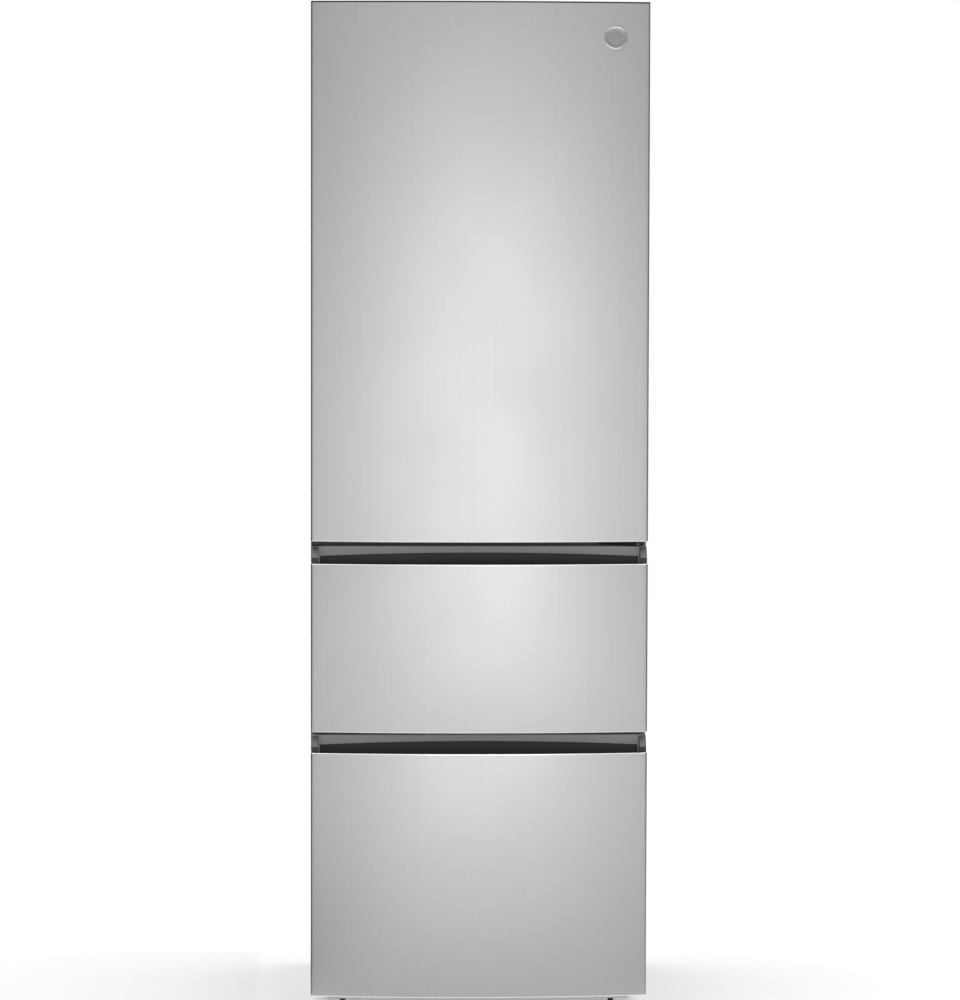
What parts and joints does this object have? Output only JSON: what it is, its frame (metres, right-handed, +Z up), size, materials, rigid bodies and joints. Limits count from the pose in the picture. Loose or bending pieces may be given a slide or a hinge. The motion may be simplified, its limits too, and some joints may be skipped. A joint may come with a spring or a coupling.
{
  "type": "bottom freezer refrigerator",
  "caption": "Upright stainless-front refrigerator with a right-hinged door above two pull-out freezer drawers, bowed fronts and recessed grips.",
  "frame": {"origin": "on the floor under the centre of the appliance's footprint", "axes": "+Z up, -Y towards the user in front of the door, +X towards the hinge side of the door"},
  "size_m": [0.595, 0.664, 1.796],
  "materials": {
    "stainless": "brushed",
    "cabinet_paint": "satin",
    "zinc_steel": "satin",
    "bare_steel": "polished",
    "black_enamel": "satin",
    "grip_grey": "satin",
    "black_plastic": "matte",
    "white_plastic": "satin",
    "basket_plastic": "satin",
    "clear_plastic": "gloss",
    "trim_plastic": "gloss",
    "shelf_glass": "clear",
    "seal_rubber": "matte",
    "roller_plastic": "matte",
    "foam": "matte",
    "aluminium_fins": "satin",
    "badge_metal": "satin"
  },
  "bodies": {
    "cabinet": {"cabinet_foam": "foam", "side_panels": "cabinet_paint", "top_cover": "black_plastic", "back_panel": "zinc_steel", "front_rails": "cabinet_paint", "base_plate": "zinc_steel", "fresh_food_liner": "white_plastic", "freezer_liner": "white_plastic", "door_hinges": "black_enamel", "hinge_covers": "black_plastic", "machine_room_cover": "zinc_steel", "cabinet_screws": "bare_steel", "rear_fittings": "black_plastic", "compressor": "black_enamel", "evaporation_pan": "black_plastic", "condenser_coil": "black_enamel", "fan_motors": "black_plastic", "evaporator": "aluminium_fins", "evaporator_cover": "white_plastic", "glass_shelves": "shelf_glass", "shelf_trims": "trim_plastic", "air_duct_panel": "white_plastic", "control_panel": "white_plastic", "light_lens": "clear_plastic", "fixed_slides": "zinc_steel", "base_brackets": "zinc_steel"},
    "door": {"door_skin": "stainless", "door_top_cap": "black_plastic", "door_foam": "foam", "door_liner": "white_plastic", "door_seal": "seal_rubber", "door_bins": "clear_plastic", "hinge_bushings": "black_plastic", "badge_disc": "badge_metal"},
    "dairy_lid": {"dairy_lid": "clear_plastic"},
    "middle_drawer": {"middle_front_skin": "stainless", "middle_front_foam": "foam", "middle_front_panel": "white_plastic", "middle_front_seal": "seal_rubber", "middle_grip": "grip_grey", "middle_drawer_bars": "zinc_steel", "middle_basket": "basket_plastic"},
    "middle_slides": {"middle_slide_members": "zinc_steel"},
    "bottom_drawer": {"bottom_front_skin": "stainless", "bottom_front_foam": "foam", "bottom_front_panel": "white_plastic", "bottom_front_seal": "seal_rubber", "bottom_grip": "grip_grey", "bottom_drawer_bars": "zinc_steel", "bottom_basket": "basket_plastic"},
    "bottom_slides": {"bottom_slide_members": "zinc_steel"},
    "crisper": {"crisper": "clear_plastic"},
    "humidity_slider": {"humidity_slider": "grip_grey"},
    "fridge_button": {"fridge_button": "grip_grey"},
    "freezer_button": {"freezer_button": "grip_grey"},
    "condenser_fan": {"condenser_fan": "black_plastic"},
    "evaporator_fan": {"evaporator_fan": "black_plastic"},
    "front_foot_right": {"front_foot_right": "black_plastic"},
    "front_foot_left": {"front_foot_left": "black_plastic"},
    "rear_rollers": {"rear_rollers": "roller_plastic"}
  },
  "joints": [
    {"name": "door_hinge", "type": "hinge", "parent": "cabinet", "child": "door", "pos_m": [0.2805, -0.292, 1.3], "axis": [0, 0, 1], "range_deg": [0, 115]},
    {"name": "dairy_lid_hinge", "type": "hinge", "parent": "door", "child": "dairy_lid", "pos_m": [0, -0.26, 1.5935], "axis": [1, 0, 0], "range_deg": [0, 80]},
    {"name": "middle_drawer_slide", "type": "slide", "parent": "cabinet", "child": "middle_drawer", "axis": [0, -1, 0], "range_m": [0, 0.38]},
    {"name": "middle_slides_travel", "type": "slide", "parent": "cabinet", "child": "middle_slides", "axis": [0, -1, 0], "range_m": [0, 0.19]},
    {"name": "bottom_drawer_slide", "type": "slide", "parent": "cabinet", "child": "bottom_drawer", "axis": [0, -1, 0], "range_m": [0, 0.24]},
    {"name": "bottom_slides_travel", "type": "slide", "parent": "cabinet", "child": "bottom_slides", "axis": [0, -1, 0], "range_m": [0, 0.12]},
    {"name": "crisper_slide", "type": "slide", "parent": "cabinet", "child": "crisper", "axis": [0, -1, 0], "range_m": [0, 0.048]},
    {"name": "humidity_slider_travel", "type": "slide", "parent": "cabinet", "child": "humidity_slider", "axis": [1, 0, 0], "range_m": [0, 0.03]},
    {"name": "fridge_button_press", "type": "slide", "parent": "cabinet", "child": "fridge_button", "axis": [0, 1, 0], "range_m": [0, 0.0015], "stiffness_N_per_m": 400, "springref_m": -0.001},
    {"name": "freezer_button_press", "type": "slide", "parent": "cabinet", "child": "freezer_button", "axis": [0, 1, 0], "range_m": [0, 0.0015], "stiffness_N_per_m": 400, "springref_m": -0.001},
    {"name": "condenser_fan_spin", "type": "hinge", "parent": "cabinet", "child": "condenser_fan", "pos_m": [-0.06, 0.2075, 0.1185], "axis": [1, 0, 0], "continuous": true},
    {"name": "evaporator_fan_spin", "type": "hinge", "parent": "cabinet", "child": "evaporator_fan", "pos_m": [0, 0.232, 0.69], "axis": [0, 1, 0], "continuous": true},
    {"name": "front_foot_right_screw", "type": "slide", "parent": "cabinet", "child": "front_foot_right", "axis": [0, 0, 1], "range_m": [-0.012, 0]},
    {"name": "front_foot_left_screw", "type": "slide", "parent": "cabinet", "child": "front_foot_left", "axis": [0, 0, 1], "range_m": [-0.012, 0]},
    {"name": "rear_rollers_roll", "type": "hinge", "parent": "cabinet", "child": "rear_rollers", "pos_m": [0, 0.27, 0.018], "axis": [1, 0, 0], "continuous": true}
  ],
  "couplings": [
    {"joint": "middle_slides_travel", "follows": "middle_drawer_slide", "ratio": 0.5},
    {"joint": "bottom_slides_travel", "follows": "bottom_drawer_slide", "ratio": 0.5}
  ]
}
